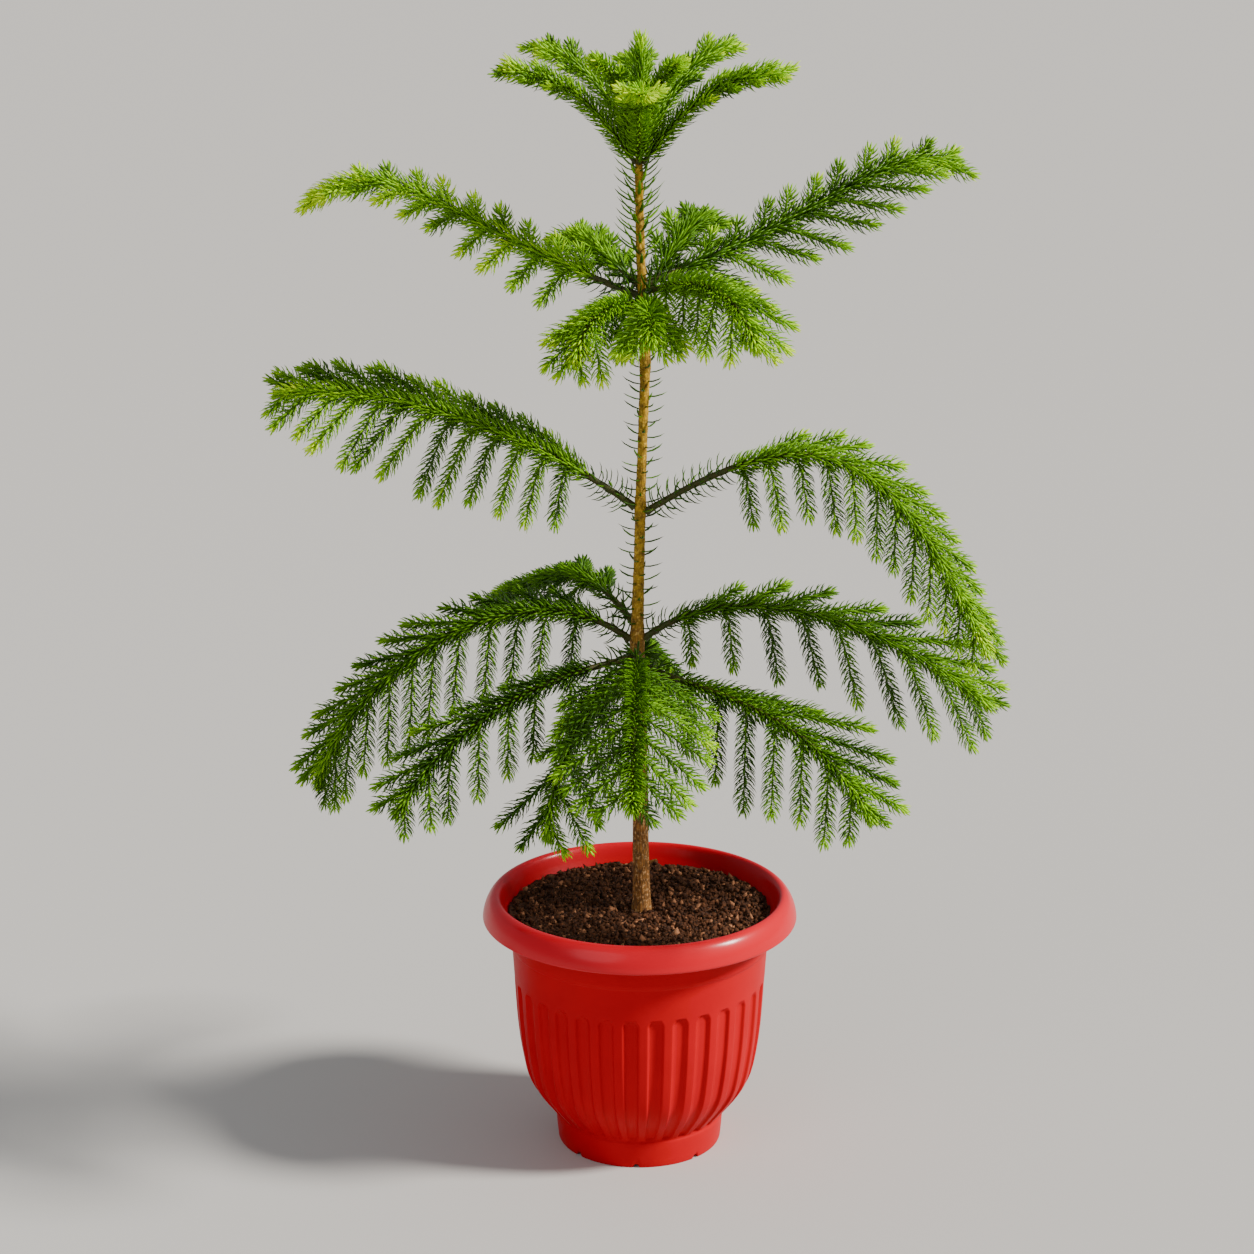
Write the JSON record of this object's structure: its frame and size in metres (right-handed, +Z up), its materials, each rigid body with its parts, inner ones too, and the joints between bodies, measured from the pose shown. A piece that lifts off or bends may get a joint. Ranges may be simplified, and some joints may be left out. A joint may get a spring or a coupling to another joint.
{
  "type": "potted norfolk island pine",
  "caption": "Young Norfolk Island pine in a fluted plastic pot of soil: a slim upright trunk with whorls of drooping boughs, flat sprays of short needles and a crown of young shoots.",
  "frame": {"origin": "middle of the pot's flat underside, which stands on the ground", "axes": "+Z up along the trunk, -Y towards the plant's front, +X to its right as seen from the front"},
  "size_m": [0.5966, 0.3915, 0.9125],
  "materials": {
    "red_plastic": "satin moulded plastic",
    "potting_soil": "loose dark potting soil",
    "bark": "fine cracked bark, olive higher up",
    "young_bark": "olive young bark",
    "needles": "living needles",
    "young_needles": "fresh living needles"
  },
  "bodies": {
    "root": {"bough_high_back": "young_bark", "bough_high_back_left": "young_bark", "bough_high_front": "young_bark", "bough_high_front_left": "young_bark", "bough_high_front_right": "young_bark", "bough_high_left": "young_bark", "bough_high_right": "young_bark", "bough_low_back": "young_bark", "bough_low_back_left": "young_bark", "bough_low_front": "young_bark", "bough_low_front_left": "young_bark", "bough_low_front_right": "young_bark", "bough_low_front_side": "young_bark", "bough_low_left": "young_bark", "bough_low_right": "young_bark", "bough_mid_left": "young_bark", "bough_mid_right": "young_bark", "mass_crown_back": "young_needles", "mass_crown_back_left": "young_needles", "mass_crown_back_right": "young_needles", "mass_crown_front": "young_needles", "mass_crown_front_left": "young_needles", "mass_crown_front_right": "young_needles", "mass_crown_left": "young_needles", "mass_crown_right": "young_needles", "mass_high_back": "young_needles", "mass_high_back_left": "young_needles", "mass_high_front": "young_needles", "mass_high_front_left": "young_needles", "mass_high_front_right": "young_needles", "mass_high_left_inner": "young_needles", "mass_high_left_outer": "young_needles", "mass_high_right_inner": "young_needles", "mass_high_right_outer": "young_needles", "mass_leader": "young_needles", "mass_low_back": "needles", "mass_low_back_left_inner": "needles", "mass_low_back_left_outer": "needles", "mass_low_front_inner": "needles", "mass_low_front_left_inner": "needles", "mass_low_front_left_outer": "needles", "mass_low_front_outer": "needles", "mass_low_front_right_inner": "needles", "mass_low_front_right_outer": "needles", "mass_low_front_side": "needles", "mass_low_left_inner": "needles", "mass_low_left_outer": "needles", "mass_low_right_inner": "needles", "mass_low_right_outer": "needles", "mass_mid_left_inner": "needles", "mass_mid_left_outer": "needles", "mass_mid_right_inner": "needles", "mass_mid_right_middle": "needles", "mass_mid_right_outer": "needles", "pot": "red_plastic", "soil": "potting_soil", "trunk": "bark"}
  },
  "joints": []
}
